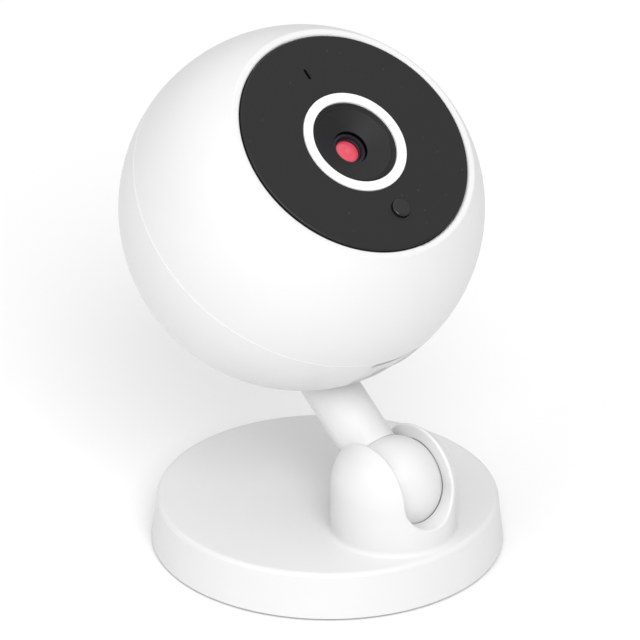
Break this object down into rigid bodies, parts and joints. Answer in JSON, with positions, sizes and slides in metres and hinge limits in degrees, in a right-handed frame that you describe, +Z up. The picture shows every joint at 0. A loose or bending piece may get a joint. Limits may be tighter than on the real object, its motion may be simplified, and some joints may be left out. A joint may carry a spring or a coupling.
{
  "type": "security camera",
  "caption": "Ball-shaped security camera with a dark front panel, on a short arm in a slotted ball socket on a round weighted base.",
  "frame": {"origin": "centre of the underside of the base, on the surface it stands on", "axes": "+Z up, the socket and the face of the camera towards -Y, +X across"},
  "size_m": [0.07, 0.0767, 0.1028],
  "materials": {
    "shell_white": "satin white moulded shells and base",
    "pivot_white": "satin white ball and arm",
    "panel_black": "satin dark smoked panel",
    "trim_white": "glossy white ring",
    "trim_black": "fine matt black lens trim and inner frame",
    "barrel_black": "black anodised lens tube",
    "lens_glass": "coated glass with a red reflection",
    "filter_red": "red-reflecting infrared-cut glass",
    "filter_clear": "clear glass",
    "sensor_window": "dark glossy window",
    "board_green": "green circuit board",
    "chip_black": "black chip package",
    "led_clear": "infrared lamps",
    "screw_steel": "plated steel",
    "plate_steel": "zinc-plated steel weight and metal cans",
    "alloy": "anodised aluminium",
    "rubber_grey": "soft dark rubber",
    "pad_grey": "non-slip foot pad",
    "cup_plastic": "natural acetal",
    "copper": "lacquered copper winding",
    "tape": "double-sided tape",
    "cable_amber": "polyimide flat cable",
    "wire_red": "insulated wire",
    "card_black": "memory card"
  },
  "bodies": {
    "base": {"base_cover": "shell_white", "base_plate": "shell_white", "base_weight": "plate_steel", "foot_pad": "pad_grey", "base_screws": "screw_steel", "friction_cup": "cup_plastic", "spring_discs": "screw_steel"},
    "pivot": {"pivot_ball": "pivot_white"},
    "head": {"arm": "pivot_white", "arm_clip": "screw_steel", "arm_nut": "screw_steel", "front_shell": "shell_white", "rear_shell": "shell_white", "shell_screws": "screw_steel", "front_panel": "panel_black", "panel_adhesive": "tape", "lens_ring": "trim_white", "lens_funnel": "trim_black", "lens_barrel": "barrel_black", "front_lens": "lens_glass", "rear_lens": "lens_glass", "lens_holder": "trim_black", "sensor_screws": "screw_steel", "filter_coil": "copper", "sensor_board": "board_green", "image_sensor": "chip_black", "camera_cable": "cable_amber", "inner_frame": "trim_black", "frame_screws": "screw_steel", "leg_screws": "screw_steel", "led_board": "board_green", "infrared_leds": "led_clear", "light_sensor": "led_clear", "sensor_lens": "sensor_window", "microphone": "plate_steel", "microphone_boot": "rubber_grey", "main_board": "board_green", "board_screws": "screw_steel", "processor": "chip_black", "memory_chips": "chip_black", "radio_can": "plate_steel", "thermal_pad": "rubber_grey", "heat_sink": "alloy", "card_socket": "plate_steel", "reset_switch": "plate_steel", "speaker": "chip_black", "speaker_gasket": "rubber_grey", "power_board": "board_green", "power_socket": "plate_steel", "power_wires": "wire_red", "antenna": "cable_amber", "antenna_cable": "card_black"},
    "filter_slide": {"filter_slide": "trim_black", "infrared_cut_filter": "filter_red", "clear_filter": "filter_clear"},
    "reset_button": {"reset_button": "pivot_white"},
    "memory_card": {"memory_card": "card_black"}
  },
  "joints": [
    {"name": "tilt", "type": "hinge", "parent": "base", "child": "pivot", "pos_m": [0, -0.0188, 0.01905], "axis": [1, 0, 0], "range_deg": [-5, 90]},
    {"name": "swivel", "type": "hinge", "parent": "pivot", "child": "head", "pos_m": [0, -0.0188, 0.01905], "axis": [0, 0.7934, 0.6088], "range_deg": [-90, 90]},
    {"name": "filter_change", "type": "slide", "parent": "head", "child": "filter_slide", "axis": [-1, 0, 0], "range_m": [0, 0.0064]},
    {"name": "reset_press", "type": "slide", "parent": "head", "child": "reset_button", "axis": [0, 0.7934, 0.6088], "range_m": [0, 0.0004], "stiffness_N_per_m": 1500},
    {"name": "card_eject", "type": "slide", "parent": "head", "child": "memory_card", "axis": [0, -0.7934, -0.6088], "range_m": [0, 0.004]}
  ]
}
